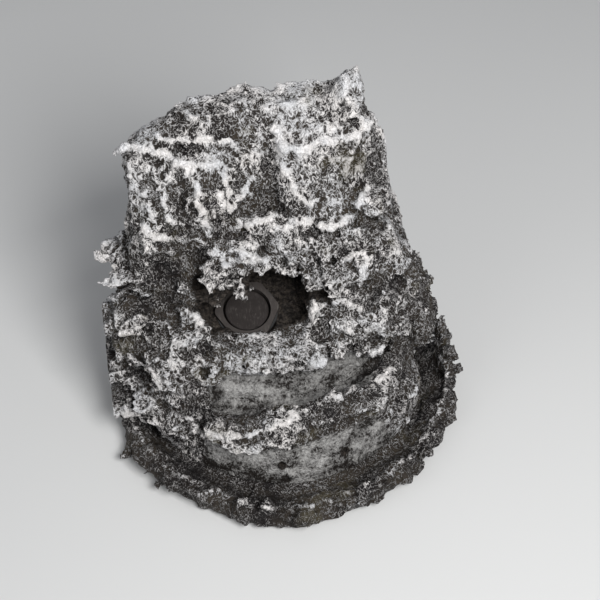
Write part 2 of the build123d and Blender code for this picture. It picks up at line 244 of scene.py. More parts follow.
def cleft(casting, path, radius, blend=3.0):
    """A dark gap along a path on the casting's face."""
    points = laid_on(casting, path)
    points = points + wander(len(points), radius, 1.2)
    radii = radius * (0.8 + 0.4 * np.sin(np.arange(len(points)) * 0.9))
    casting.cut(stroke(casting, points, radii), blend)


def dent(casting, centre, radii, seed):
    """A facetted hollow in the casting's face."""
    middle = laid_on(casting, [centre, np.array(centre) + 0.1])[0]
    casting.cut(boulder(casting, middle, radii, np.random.default_rng(seed), 9), 2.0)


def ledges(casting, spacing, seed):
    """Rough beds of rock: each juts out further as it rises, then steps back. From 0 to 1."""
    z = casting.everywhere()[2]
    phase = z / spacing + 0.9 * noise(casting, 17, seed) + 0.3 * noise(casting, 6, seed + 1)
    return phase - np.floor(phase)


def spline_weights(places):
    """Cubic B-spline weights that carry a row of lattice values to each place."""
    first = math.floor(places.min()) - 1
    weights = np.zeros((len(places), math.ceil(places.max()) - first + 3))
    cell = np.floor(places).astype(int)
    t = places - cell
    rows = np.arange(len(places))
    for k, w in enumerate(
        ((1 - t) ** 3, 3 * t**3 - 6 * t**2 + 4, -3 * t**3 + 3 * t**2 + 3 * t + 1, t**3)
    ):
        weights[rows, cell - first - 1 + k] = w / 6
    return weights


def noise(casting, spacing, seed):
    """Smooth noise over the whole grid, with features about twice the spacing wide."""
    spacing = np.broadcast_to(spacing, 3)
    rng = np.random.default_rng(seed)
    weights = [spline_weights(a / s + rng.uniform(0, 1)) for a, s in zip(casting.axes, spacing)]
    field = rng.standard_normal([w.shape[1] for w in weights])
    for w in weights:
        field = np.tensordot(field, w, (0, 1))
    return (field / field.std()).astype(np.float32)


def net(casting, spacing, seed):
    """A net of sharp crests, 1 high, that meet at corners, with flat ground at 0 between."""
    first, second = noise(casting, spacing, seed), noise(casting, spacing, seed + 50)
    return np.maximum(1 - 2.6 * np.minimum(np.abs(first), np.abs(second)), 0)


def blurred(field, radius):
    """A field averaged over a cube, twice, so that its corners don't show."""
    size = max(int(round(radius / STEP)), 1)
    for axis in (0, 1, 2, 0, 1, 2):
        pad = [(0, 0)] * 3
        pad[axis] = (size + 1, size)
        total = np.cumsum(np.pad(field, pad, mode="edge"), axis=axis, dtype=np.float64)
        count = total.shape[axis]
        ahead = np.take(total, range(2 * size + 1, count), axis=axis)
        behind = np.take(total, range(0, count - 2 * size - 1), axis=axis)
        field = ((ahead - behind) / (2 * size + 1)).astype(np.float32)
    return field


def sampled(casting, field, points):
    """A field's values at points, between its grid points."""
    where = (points - casting.low) / STEP
    cell = np.clip(np.floor(where).astype(int), 0, np.array(field.shape) - 2)
    t = np.clip(where - cell, 0, 1)
    value = np.zeros(len(points))
    for corner in np.ndindex(2, 2, 2):
        share = np.prod(np.where(corner, t, 1 - t), axis=1)
        value += share * field[tuple((cell + corner).T)]
    return value


# --- The rock casting ---------------------------------------------------------------------


def oval_reach(turn):
    """How far an oval of half size 1 reaches at a turn. It is squarer behind than in front."""
    power = 2.6 if turn < math.pi else 1.8
    return (abs(math.cos(turn)) ** power + abs(math.sin(turn)) ** power) ** (-1 / power)


def oval(half_x, front, back, corners=40):
    """An oval outline."""
    points = []
    for k in range(corners):
        turn = math.tau * k / corners
        reach = oval_reach(turn)
        y = (front + back) / 2 + (back - front) / 2 * reach * math.sin(turn)
        points.append((half_x * reach * math.cos(turn), y))
    return points


def lower_body(c):
    c.add(
        loft(
            c,
            (7.3, oval(84, -60, 74)),
            (14, oval(83, -58, 74)),
            (30, oval(80, -51, 75)),
            (43, oval(78, -47, 76)),
            (50, oval(75, -47, 76)),
        )
    )


def tower(c):
    foot = [(-80, 16), (-64, 8), (-50, 3), (-30, 6), (-18, 8), (0, 8), (10, 4), (30, 2)]
    foot += [(60, 6), (80, 26), (78, 56), (48, 74), (-40, 74), (-78, 56), (-82, 36)]
    roof = [(-84, 34), (-68, 27), (-50, 25), (-30, 22), (-18, 24), (0, 26), (10, 27), (30, 27)]
    roof += [(55, 28), (78, 38), (76, 62), (48, 80), (-40, 80), (-82, 62), (-86, 48)]
    ledge = [(-84, 38), (-68, 32), (-47, 30), (-28, 30), (-20, 33), (0, 34), (8, 32), (28, 32)]
    ledge += [(48, 34), (68, 44), (70, 66), (47, 82), (-40, 81), (-81, 64), (-86, 50)]
    waist = [(-82, 42), (-66, 37), (-46, 36), (-30, 38), (-20, 44), (0, 45), (6, 40), (30, 38)]
    waist += [(44, 40), (60, 50), (64, 68), (46, 83), (-40, 82), (-80, 66), (-84, 54)]
    high = [(-81, 47), (-64, 42), (-47, 43), (-31, 44), (-20, 51), (-2, 52), (4, 46), (30, 44)]
    high += [(45, 45), (56, 56), (60, 70), (46, 83), (-40, 83), (-78, 68), (-82, 58)]
    brow = [(-79, 52), (-62, 49), (-48, 48), (-32, 50), (-20, 53), (-2, 54), (4, 50), (30, 50)]
    brow += [(47, 51), (54, 60), (57, 72), (45, 84), (-40, 83), (-76, 70), (-80, 60)]
    dome = [(-72, 58), (-60, 55), (-48, 56), (-32, 57), (-20, 58), (-2, 58), (4, 57), (30, 55)]
    dome += [(46, 56), (52, 63), (54, 73), (44, 83), (-38, 83), (-68, 72), (-72, 64)]
    top = [(-50, 70), (-44, 66), (-36, 66), (-26, 66), (-16, 67), (-2, 68), (6, 68), (26, 66)]
    top += [(38, 66), (46, 70), (48, 76), (42, 82), (-30, 82), (-44, 78), (-50, 74)]
    heights = (44, 100, 126, 150, 170, 184, 191, 199)
    layers = zip(heights, (foot, roof, ledge, waist, high, brow, dome, top))
    c.add(loft(c, *layers), 4)


def peak(c):
    foot = [(8, 68), (34, 60), (50, 62), (55, 72), (46, 84), (20, 83)]
    middle = [(30, 68), (38, 63), (51, 63), (56, 71), (50, 82), (36, 81)]
    tip = [(40, 70), (43, 67), (49, 67), (52, 71), (49, 77), (43, 76)]
    c.add(loft(c, (190, foot), (203, middle), (214, tip)), 4)


def flanks(c):
    c.add(
        loft(
            c,
            (30, [(-96, 16), (-72, -14), (-60, 20), (-64, 60), (-90, 56)]),
            (60, [(-98, 18), (-74, -8), (-60, 20), (-64, 62), (-93, 58)]),
            (90, [(-93, 34), (-74, 12), (-62, 26), (-66, 66), (-91, 62)]),
            (114, [(-92, 44), (-80, 36), (-70, 40), (-72, 66), (-88, 63)]),
        ),
        5,
    )
    c.add(
        loft(
            c,
            (32, [(34, -10), (62, -20), (78, -2), (86, 22), (78, 50), (40, 50)]),
            (54, [(26, -6), (60, -10), (79, 6), (85, 28), (80, 54), (40, 54)]),
            (92, [(24, 12), (56, 8), (72, 18), (80, 38), (78, 60), (40, 56)]),
            (118, [(34, 30), (58, 26), (69, 36), (75, 46), (72, 64), (44, 60)]),
        ),
        5,
    )
    c.add(
        loft(
            c,
            (30, [(-82, -8), (-64, -24), (-50, -18), (-48, 20), (-80, 30)]),
            (64, [(-78, 0), (-62, -10), (-49, -6), (-48, 26), (-78, 36)]),
            (96, [(-76, 26), (-60, 16), (-52, 20), (-50, 34), (-76, 40)]),
        ),
        5,
    )


def sill_block(c):
    foot = [(-50, -10), (-20, -13), (12, -8), (44, 4), (56, 30), (-56, 30)]
    shelf = [(-47, -6), (-20, -9), (11, -5), (40, 6), (50, 30), (-54, 30)]
    top = [(-44, 3), (-20, 0), (10, 1), (30, 8), (40, 30), (-50, 30)]
    c.add(loft(c, (44, foot), (60, shelf), (79, top)), 3)


def middle_trough(c):
    lip = [(-57, -22), (-37, -34), (0, -33), (34, -23), (58, -9)]
    foot = [(50, 0), (32, -8), (8, -17), (-20, -22), (-46, -16)]
    rise = [(60, 8), (38, 4), (12, -4), (-18, -8), (-48, -4)]
    c.cut(loft(c, (38, lip + foot), (58, lip + rise)), 3)
    shelf = [(-62, -60), (66, -60), (60, 4), (12, -7), (-48, -7)]
    above = [(-60, -60), (66, -60), (60, 8), (12, -3), (-48, -3)]
    c.cut(loft(c, (50, shelf), (60, above)), 2)


def left_shelves(c):
    """Shelf-like lumps stacked up the left side, with deep gaps between."""
    rng = np.random.default_rng(5)
    for centre, radii in (
        ((-89, 43, 109), (13, 12, 4)),
        ((-85, 42, 98), (12, 13, 6)),
        ((-87, 36, 76), (13, 14, 7)),
        ((-93, 20, 50), (14, 13, 6)),
        ((-94, 8, 28), (14, 14, 8)),
        ((-82, 26, 88), (12, 12, 6)),
        ((-84, 14, 66), (12, 12, 6)),
        ((-78, -2, 44), (12, 12, 7)),
        ((-74, 30, 106), (11, 9, 6)),
    ):
        c.add(boulder(c, centre, radii, rng), 2.0)
    for centre, radii in (
        ((-98, 44, 101.5), (11, 16, 3.5)),
        ((-97, 38, 87), (11, 18, 4)),
        ((-101, 28, 63), (12, 20, 5)),
        ((-101, 14, 39), (10, 18, 4)),
        ((-84, 16, 96), (10, 9, 3)),
        ((-86, 2, 56), (10, 10, 3)),
    ):
        c.cut(boulder(c, centre, radii, rng), 2.0)


# Rows of boulders: path, count, size and how flat they are.
ROWS = (
    # the brow over the cave
    ([(-46, 24, 104), (-36, 20, 102), (-27, 21, 105)], 3, 11, 0.8),
    ([(-44, 27, 117), (-30, 26, 115), (-18, 27, 117)], 4, 12, 0.9),
    ([(-13, 27, 118), (-2, 27, 115), (8, 28, 121)], 4, 10, 0.8),
    ([(-40, 32, 126), (-12, 32, 127), (18, 32, 127)], 6, 11, 1.0),
    # the broken ledge across the tower
    ([(-26, 38, 137), (-10, 39, 139), (6, 38, 133), (20, 38, 137), (38, 37, 132), (50, 41, 149)],
        10, 7, 0.8),
    ([(-76, 40, 142), (-60, 37, 134), (-46, 36, 130)], 5, 8, 0.8),
    # the column and the bulging block right of the cave
    ([(18, 29, 120), (22, 25, 106), (27, 19, 94)], 4, 10, 1.0),
    ([(32, 28, 124), (38, 24, 110), (38, 16, 96)], 4, 13, 1.0),
    ([(50, 28, 122), (54, 22, 106), (54, 14, 90)], 4, 15, 1.0),
    ([(66, 34, 112), (70, 24, 92), (74, 16, 72), (76, 6, 54)], 6, 14, 1.0),
    ([(36, 10, 82), (44, 8, 82)], 1, 21, 1.0),
    ([(52, 8, 80), (60, 8, 80)], 1, 20, 1.0),
    ([(28, 2, 70), (46, -2, 68), (58, -1, 68)], 3, 12, 0.9),
    # the columns left of it
    ([(-58, 24, 106), (-57, 17, 94), (-55, 11, 82)], 4, 11, 1.0),
    ([(-66, 10, 84), (-59, 3, 73), (-51, -2, 64)], 5, 12, 1.0),
    ([(-74, 2, 66), (-66, -6, 54), (-60, -14, 44)], 5, 12, 1.0),
    ([(-76, -2, 44), (-69, -16, 33), (-62, -26, 27)], 5, 11, 1.0),
    # the sill and the face under it
    ([(-50, 8, 80), (-34, 3, 79), (-18, 1, 78), (-4, 2, 78)], 8, 5.5, 0.9),
    ([(0, 4, 79), (10, 6, 81), (20, 12, 86), (25, 18, 92)], 5, 7, 1.0),
    ([(-46, -2, 69), (-20, -5, 67), (8, -2, 67), (24, 4, 72)], 8, 8, 1.0),
)


def rows(c):
    for k, (path, count, size, flat) in enumerate(ROWS):
        rocks_along(c, path, count, size, 200 + k, flat, blend=1.2)


def lips(c):
    """The broken lip of the middle basin."""
    high = [(-62, -26, 46), (-36, -41, 47), (0, -40, 47), (33, -31, 47), (62, -18, 48)]
    low = [(-64, -30, 38), (-34, -46, 41), (2, -44, 41), (36, -34, 42), (66, -18, 42)]
    rocks_along(c, high, 26, 6.5, 61)
    rocks_along(c, low, 22, 5, 62)


def front_lines(c, brush_and_shade):
    """The sharp ridges that catch the brush, and the dark clefts between the masses."""
    for centre, radii, seed in (
        ((-7, 39, 153), (12, 7, 13), 1),
        ((43, 57, 191), (9, 6, 4), 2),
        ((-45, 53, 187), (15, 4, 4), 3),
        ((46, 36, 142), (5, 5, 9), 4),
        ((-54, 42, 160), (5, 3.5, 14), 5),
        ((-36, 38, 140), (5, 4, 9), 6),
        ((20, 36, 128), (9, 5, 5), 7),
    ):
        dent(c, centre, radii, seed)
    for path, radius in (
        ([(47, 50, 180), (43, 46, 170), (38, 42, 160), (38, 38, 148)], 2.2),
        ([(-45, 31, 124), (-48, 27, 116), (-49, 25, 109), (-48, 21, 100)], 5.5),
        ([(24, 16, 95), (22, 8, 88), (19, 2, 80), (13, -6, 68)], 5.5),
        ([(64, 30, 118), (66, 22, 104), (70, 16, 90)], 4.0),
        ([(-72, 30, 122), (-62, 22, 100), (-66, 10, 84)], 4.0),
        ([(-50, 4, 76), (-48, -2, 68), (-50, -8, 58)], 4.0),
        ([(28, 27, 116), (30, 24, 108), (30, 18, 98)], 3.5),
    ):
        cleft(c, path, radius)
    for path, radius, white in (
        ([(-82, 57, 192), (-75, 55, 189), (-70, 54, 188), (-61, 53, 187), (-56, 50, 182),
            (-49, 48, 177)], 1.6, 1),
        ([(-49, 48, 177), (-46, 44, 166), (-45, 40, 157), (-42, 37, 145), (-41, 34, 135)], 1.4, 1),
        ([(-49, 48, 177), (-43, 49, 180), (-29, 48, 178), (-29, 45, 170), (-28, 42, 160)], 1.1,
            0.9),
        ([(-32, 42, 162), (-31, 40, 155), (-28, 38, 149), (-25, 39, 152), (-22, 41, 158),
            (-19, 43, 164), (-13, 44, 167)], 1.4, 1),
        ([(-66, 58, 193), (-55, 58, 192), (-47, 56, 191), (-36, 56, 190), (-28, 55, 190),
            (-23, 53, 188)], 1.1, 0.8),
        ([(-56, 49, 181), (-60, 47, 174), (-64, 44, 167), (-64, 41, 159), (-63, 38, 151),
            (-60, 37, 145)], 1.0, 0.8),
        ([(-76, 44, 167), (-73, 41, 159), (-71, 39, 152), (-70, 36, 143)], 0.8, 0.7),
        ([(-76, 37, 147), (-71, 35, 138), (-64, 34, 136), (-55, 34, 135), (-47, 34, 134),
            (-44, 33, 129)], 1.4, 0.9),
        ([(2, 59, 194), (2, 54, 189), (5, 50, 183), (14, 49, 182), (22, 50, 184), (34, 52, 186),
            (46, 51, 186), (50, 55, 189), (54, 59, 194)], 1.5, 1),
        ([(46, 51, 186), (43, 47, 177), (39, 45, 169), (36, 41, 159)], 1.0, 0.8),
        ([(-24, 36, 140), (-16, 36, 141), (-6, 36, 142), (-3, 35, 139)], 1.2, 0.9),
        ([(4, 34, 134), (7, 35, 137), (16, 35, 138), (25, 34, 134), (36, 34, 133), (41, 35, 137),
            (45, 36, 142), (47, 38, 149), (51, 40, 154)], 1.4, 0.9),
        ([(-42, 32, 126), (-35, 30, 121), (-32, 28, 115), (-24, 29, 117), (-16, 29, 117)], 1.6, 1),
        ([(-22, 31, 124), (-16, 29, 118), (-11, 28, 115)], 1.4, 1),
        ([(0, 50, 184), (4, 47, 174), (7, 43, 165), (9, 41, 158), (16, 38, 150), (20, 37, 147)],
            0.9, 0.8),
        ([(-61, 17, 95), (-54, 12, 91), (-48, 6, 86)], 1.5, 0.9),
        ([(-44, 11, 90), (-39, 6, 85), (-27, 3, 83), (-13, 3, 82), (-2, 4, 83), (6, 5, 84),
            (16, 9, 88), (21, 13, 92)], 1.1, 0.8),
        ([(-39, -9, 67), (-34, -10, 65), (-22, -12, 63), (-8, -13, 60), (3, -14, 58)], 1.0, 0.6),
        ([(13, -12, 62), (21, -11, 63), (29, -11, 64), (33, -13, 60), (44, -12, 62), (52, -10, 65),
            (55, -9, 67)], 1.4, 0.9),
        ([(16, 10, 89), (25, 11, 90), (36, 12, 91), (44, 7, 86)], 1.4, 0.9),
        ([(-62, -39, 51), (-53, -44, 50), (-45, -45, 46), (-32, -45, 46), (-23, -45, 47),
            (-8, -43, 50), (4, -34, 48), (18, -28, 47), (31, -26, 47), (41, -19, 51), (51, -20, 50),
            (62, -17, 54)], 1.1, 0.8),
        ([(37, 25, 109), (42, 27, 113), (46, 28, 115), (50, 25, 108), (47, 20, 98)], 1.2, 0.9),
    ):
        crest_line(c, brush_and_shade, path, radius, white)


def collar_height(y, z, rise=0.0):
    """Height over a level that is a rise above the collar's seat, along its leaning axis."""
    up = math.cos(COLLAR_LEAN) * (z - COLLAR[2] - rise)
    return up - math.sin(COLLAR_LEAN) * (y - COLLAR[1])


def cave(c):
    """The cave's mouth, as seen from the front, and its room, with a floor that leans."""
    mouth = [(-46, 84), (-44, 78), (-30, 76), (0, 76), (10, 79), (16, 84), (13, 90), (17, 97),
        (11, 104), (12, 111)]
    mouth += [(8, 112), (4, 105), (-4, 104), (-14, 107), (-21, 104), (-26, 97), (-32, 92),
        (-42, 91)]
    place, x, y, z = c.window((-50, -30, 60), (34, 58, 118))
    front = outline_distance(x[:, 0, :], z[0], mouth)[:, None, :]
    passage = np.maximum(front, y - 36)
    c.cut((place, np.maximum(passage, -2 * collar_height(y, z))), 2)
    foot = [(-44, 4), (28, 4), (27, 51), (-45, 51)]
    roof = [(-44, 20), (24, 20), (26, 51), (-44, 51)]
    place, shape = loft(c, (60, foot), (101, roof))
    y, z = (c.axes[i][place[i]] for i in (1, 2))
    floor = collar_height(y[None, :, None], z[None, None, :], 0.4)
    c.cut((place, np.maximum(shape, -floor)), 2)


def sump_distance(c):
    """The hollows inside the casting, as one shape over the whole grid."""
    hollow = Casting.__new__(Casting)
    hollow.axes, hollow.low = c.axes, c.low
    hollow.distance = np.full(c.distance.shape, FAR, np.float32)
    foot = [(-60, -9), (-20, -15), (8, -11), (33, 0), (52, 9), (58, 60), (36, 67), (-36, 67),
        (-60, 56)]
    head = [(-60, 12), (-20, 6), (10, 6), (32, 16), (50, 24), (56, 60), (36, 69), (-36, 69),
        (-60, 58)]
    hollow.add(loft(hollow, (0, oval(79, -53, 68)), (31, oval(74, -43, 68))), 1)
    hollow.add(loft(hollow, (28, foot), (65, head)), 1)
    low = [(-58, 58), (50, 58), (52, 62), (36, 69), (-36, 69), (-60, 61)]
    behind = [(-70, 58), (50, 58), (60, 61), (44, 73), (-38, 73), (-74, 61)]
    hollow.add(loft(hollow, (62, low), (108, behind)), 1)
    above = [(-72, 52), (-50, 46), (0, 51), (44, 51), (60, 55), (58, 62), (42, 74), (-38, 74),
        (-74, 61)]
    top = [(-68, 62), (-50, 60), (0, 62), (34, 62), (44, 64), (44, 68), (40, 75), (-38, 75),
        (-64, 67)]
    hollow.add(loft(hollow, (108, above), (172, top)), 1)
    return hollow.distance


def smooth_walls(c):
    """1 on the smoothed walls of the two basins, 0 on raw rock."""
    x, y, z = c.everywhere()
    lower = smooth_step(40, 34, z) * smooth_step(-24, -32, y + 0.12 * np.abs(x))
    lower = lower * smooth_step(72, 64, np.abs(x - 8))
    middle = smooth_step(60, 55, z) * smooth_step(34, 37, z)
    middle = middle * smooth_step(-33, -29, y - 0.004 * x * x)
    middle = middle * smooth_step(8, 4, y - 0.12 * np.abs(x)) * smooth_step(54, 46, np.abs(x))
    return np.maximum(lower, middle)


def cave_shade(c):
    """1 inside the cave, where shade is painted dark on the walls and floor."""
    x, y, z = c.everywhere()
    shade = smooth_step(110, 104, z) * smooth_step(66, 69, z)
    shade = shade * smooth_step(4, 12, y - 0.2 * (z - 80))
    return shade * smooth_step(58, 54, y) * smooth_step(46, 40, np.abs(x + 9))


def coarse_relief(c, smooth):
    """Beds and folds on the lower rock, rills down the tower, from 40 down to 8 mm across."""
    x, _, z = c.everywhere()
    upper = smooth_step(112, 136, z)
    left = smooth_step(-58, -84, x) * smooth_step(126, 116, z)
    beds = ledges(c, 15, 121) * (1 - upper) * (1.6 + 2.2 * left)
    broad = (1.2 + 0.6 * (1 - upper)) * noise(c, 16, 101) + 0.9 * ledges(c, 8, 131)
    rills = 1.6 * (0.8 - np.abs(noise(c, (9, 9, 26), 103)))
    lumps = 1.3 * (np.abs(noise(c, (12, 12, 8), 102)) - 0.8) - 1.4 * net(c, 17, 141) ** 2
    relief = broad + beds + upper * rills + (1 - upper) * lumps
    c.distance -= ((1 - 0.95 * smooth) * smooth_step(8, 14, z) * relief).astype(np.float32)


def fine_relief(c, smooth, depth=1.0):
    """Sharp crests a few millimetres apart. Gives how far each place stands up."""
    cells = 0.8 - np.abs(noise(c, (3.4, 3.4, 4.2), 109))
    small, fine = net(c, 2.6, 106), net(c, 1.6, 107)
    relief = depth * (0.6 * cells + 1.0 * small + 0.7 * fine)
    z = c.everywhere()[2]
    c.distance -= ((1 - 0.85 * smooth) * smooth_step(3, 8, z) * relief).astype(np.float32)
    return 0.35 * cells + 0.3 * small + 0.2 * fine + 0.1


def brush_and_light_cloud(c, zones):
    """Where the brush was heavier or lighter, and where light and shade are painted: a soft cloud
    round each place.
    """
    x, y, z = c.everywhere()
    cloud = np.zeros(c.distance.shape, np.float32)
    for (px, py, pz), radius, amount in zones:
        away = (x - px) ** 2 + (y - py) ** 2 + (z - pz) ** 2
        cloud += amount * np.exp(-away / radius**2).astype(np.float32)
    return cloud


# Where the brush was heavier or lighter, and where light and shade are painted (lit faces lighter;
# gaps, flanks and lower parts darker): place, radius and amount.
ROCK_BRUSH_AND_LIGHT = (
    ((10, 60, 192), 26, 0.46),
    ((-55, 56, 190), 20, 0.05),
    ((46, 46, 165), 22, 0.10),
    ((-10, 44, 158), 18, -0.30),
    ((24, 25, 112), 12, -0.25),
    ((-82, 18, 64), 14, -0.20),
    ((-66, 3, 64), 12, 0.18),
    # painted shade in the gap between the column and the sill
    ((-48, -2, 66), 9, -0.25),
    ((-62, 44, 160), 20, -0.10),
    ((-60, 34, 128), 18, -0.15),
    ((60, 30, 116), 16, -0.15),
    # painted light on the lit face of the right block
    ((48, -4, 78), 20, 0.10),
    ((-66, 24, 112), 22, -0.20),
    # painted shade on the left flank
    ((-92, 34, 80), 34, -0.28),
    ((-84, 10, 40), 24, -0.08),
    ((82, 30, 80), 36, -0.42),
    # painted shade: the lower front is darker, where less light falls
    ((20, -40, 42), 36, -0.46),
    ((-50, -34, 42), 30, -0.26),
    ((92, 10, 60), 34, -0.30),
    # painted shade under the brow's left lump
    ((-34, 20, 98), 9, -0.20),
    ((-20, -6, 62), 16, 0.10),
    ((0, 28, 118), 14, -0.10),
)


def rock_body():
    c = Casting((-108, -68, 4), (96, 90, 218))
    for feature in (lower_body, tower, peak, flanks, sill_block):
        feature(c)
    middle_trough(c)
    for feature in (left_shelves, rows, lips):
        feature(c)
    # White brush lines are raised in this field; negative values paint shade dark in the cave and
    # the return holes.
    brush_and_shade = np.zeros(c.distance.shape, np.float32)
    smooth = smooth_walls(c)
    coarse_relief(c, smooth)
    front_lines(c, brush_and_shade)
    for hole_x, front in zip(RETURN_HOLES_X, (-60, -56)):
        knob = laid_on(c, [(hole_x + 4, front, 22), (hole_x + 5, front, 19)])
        c.add(stroke(c, knob, np.full(len(knob), 2.2)), 1.5)
    cave(c)
    crest = fine_relief(c, smooth)
    hollow = sump_distance(c)
    c.distance = np.minimum(c.distance, hollow - LEAST_WALL)
    c.distance = np.maximum(c.distance, -hollow)
    x, y, z = c.everywhere()
    c.distance = np.maximum(c.distance, ROCK_FOOT_Z - z)
    up = collar_height(y, z)
    across = math.cos(COLLAR_LEAN) * (y - COLLAR[1]) + math.sin(COLLAR_LEAN) * (z - COLLAR[2])
    from_axis = np.hypot(x - COLLAR[0], across)
    well = np.maximum(from_axis - WELL_RADIUS, np.abs(up) - WELL_REACH)
    seat = np.maximum(from_axis - SEAT_RADIUS, np.abs(up - SEAT_HALF_DEPTH) - SEAT_HALF_DEPTH)
    c.distance = np.maximum(c.distance, -np.minimum(well, seat))
    for hole_x in RETURN_HOLES_X:
        bore = np.hypot(x - hole_x, z - RETURN_HOLE_Z) - RETURN_HOLE_RADIUS
        hole = np.maximum(bore, np.abs(y + 58) - 12)
        c.distance = np.maximum(c.distance, -hole)
        # Painted shade: the inside of each return hole is painted dark.
        brush_and_shade -= 1.5 * smooth_step(1.0, 0.0, hole)
    notch = np.maximum(np.abs(x - NOTCH_X) - NOTCH_HALF_WIDTH, z - NOTCH_TOP)
    notch = np.maximum(notch, np.abs(y - 66) - 20)
    c.distance = np.maximum(c.distance, -notch)
    # Painted shade: the cave's walls and floor are painted dark.
    brush_and_shade = brush_and_shade - cave_shade(c)
    return finished_mesh(c, "rock_casting", smooth, crest, brush_and_shade, brush_and_light_cloud(c, ROCK_BRUSH_AND_LIGHT))


# --- The base casting ---------------------------------------------------------------------


# A lighter place on the base's right side: place, radius and amount.
BASE_ZONES = (((98, 30, 30), 30, 0.10),)


def base_outline(inset, corners=60):
    """The base's wavy oval, drawn in by an inset."""
    points = []
    for k in range(corners):
        turn = math.tau * k / corners
        reach = oval_reach(turn)
        reach *= 1 + 0.012 * math.sin(3 * turn + 0.4) + 0.01 * math.sin(7 * turn + 1.1)
        half_x, half_y = BASE_HALF_X - inset, BASE_HALF_Y - inset
        points.append((reach * math.cos(turn) * half_x, reach * math.sin(turn) * half_y))
    return points


def rim_path(inset, height):
    return [(x, y, height) for x, y in base_outline(inset)] + [(*base_outline(inset)[0], height)]


def base_basin():
    c = Casting((-111, -92, 0), (111, 92, 50))
    c.add(loft(c, (3, base_outline(2)), (9, base_outline(1)), (14, base_outline(3))), 2)
    rocks_along(c, rim_path(5, 13), 96, 5.2, 71, flat=0.9, spread=0.8)
    rocks_along(c, rim_path(4.5, 7), 80, 5.5, 72, spread=0.8)
    side = [(98, -12, 22), (100, 8, 28), (98, 28, 32), (92, 44, 32), (84, 56, 28)]
    rocks_along(c, side, 14, 7, 73, flat=1.3, spread=1.0)
    rocks_along(c, [(98, 0, 30), (99, 20, 36), (93, 40, 36)], 6, 5, 74, flat=1.2, spread=1.0)
    z = c.everywhere()[2]
    levels = ((TRAY_FLOOR_Z, 19), (13, 13), (19, 8), (60, 7))
    basin = loft(c, *((height, base_outline(inset)) for height, inset in levels))
    smooth = np.zeros(c.distance.shape, np.float32)
    place, shape = basin
    smooth[place] = smooth_step(-2, -7, shape)
    c.cut(basin, 3)
    folds = 1.3 * noise(c, 9, 111) + 1.2 * (np.abs(noise(c, 6, 114)) - 0.8)
    c.distance -= ((1 - 0.6 * smooth) * smooth_step(3, 7, z) * folds).astype(np.float32)
    crest = fine_relief(c, 0.6 * smooth, 0.9)
    c.cut(loft(c, (TRAY_FLOOR_Z, oval(88, -65, 77)), (60, oval(88, -62, 78))), 0.5)
    floor = np.maximum(z - TRAY_FLOOR_Z, BASE_FOOT_Z - z)
    place, shape = loft(c, (0, oval(92, -70, 79)), (20, oval(92, -70, 79)))
    c.distance[place] = np.minimum(c.distance[place], np.maximum(shape, floor[:, :, place[2]]))
    c.distance = np.maximum(c.distance, BASE_FOOT_Z - z)
    brush_and_shade = np.zeros(c.distance.shape, np.float32)
    crest_line(c, brush_and_shade, rim_path(6, 19), 0.9, 0.8)
    return finished_mesh(c, "base_casting", smooth, crest, brush_and_shade, brush_and_light_cloud(c, BASE_ZONES))


# --- From grid to mesh --------------------------------------------------------------------


def largest_part(points, quads):
    """Drops loose crumbs: keeps the faces of the mesh's largest connected part."""
    label = np.arange(len(points))
    while True:
        lowest = label[quads].min(1)
        new = label.copy()
        for k in range(4):
            np.minimum.at(new, quads[:, k], lowest)
        new = new[new]
        if np.array_equal(new, label):
            break
        label = new
    names, counts = np.unique(label[quads[:, 0]], return_counts=True)
    keep = label[quads[:, 0]] == names[counts.argmax()]
    quads = quads[keep]
    used, index = np.unique(quads, return_inverse=True)
    return points[used], index.reshape(quads.shape)


def finished_mesh(c, name, smooth, crest, brush_and_shade, cloud):
    """The casting's face as a mesh, with the fields that its material reads stored on it."""
    grid = openvdb.FloatGrid(FAR)
    grid.copyFromArray(np.clip(c.distance, -4, 4))
    grid.transform = openvdb.createLinearTransform(voxelSize=STEP)
    points, quads = grid.convertToQuads(0.0)
    points = points.astype(np.float64) + c.low
    points, quads = largest_part(points, quads.astype(np.int64))
    mesh = bpy.data.meshes.new(name)
    mesh.vertices.add(len(points))
    mesh.vertices.foreach_set("co", (points * MM).astype(np.float32).ravel())
    mesh.loops.add(quads.size)
    mesh.loops.foreach_set("vertex_index", quads[:, ::-1].astype(np.int32).ravel())
    mesh.polygons.add(len(quads))
    mesh.polygons.foreach_set("loop_start", np.arange(0, quads.size, 4, dtype=np.int32))
    mesh.polygons.foreach_set("use_smooth", np.ones(len(quads), bool))
    mesh.update(calc_edges=True)
    band = np.clip(c.distance, -3, 3)
    fields = {
        "crest": crest,
        "smooth": smooth,
        "brush_and_shade": brush_and_shade,
        "brush_and_light_cloud": cloud,
        "edge": blurred(band, 1.6) - band,
        "lift": blurred(np.clip(c.distance, -6, 6), 6),
    }
    for key, field in fields.items():
        attribute = mesh.attributes.new(key, "FLOAT", "POINT")
        attribute.data.foreach_set("value", sampled(c, field, points).astype(np.float32))
    piece = bpy.data.objects.new(name, mesh)
    bpy.context.scene.collection.objects.link(piece)
    print(name, len(points), "points", len(quads), "quads")
    return piece


# --- Materials ----------------------------------------------------------------------------


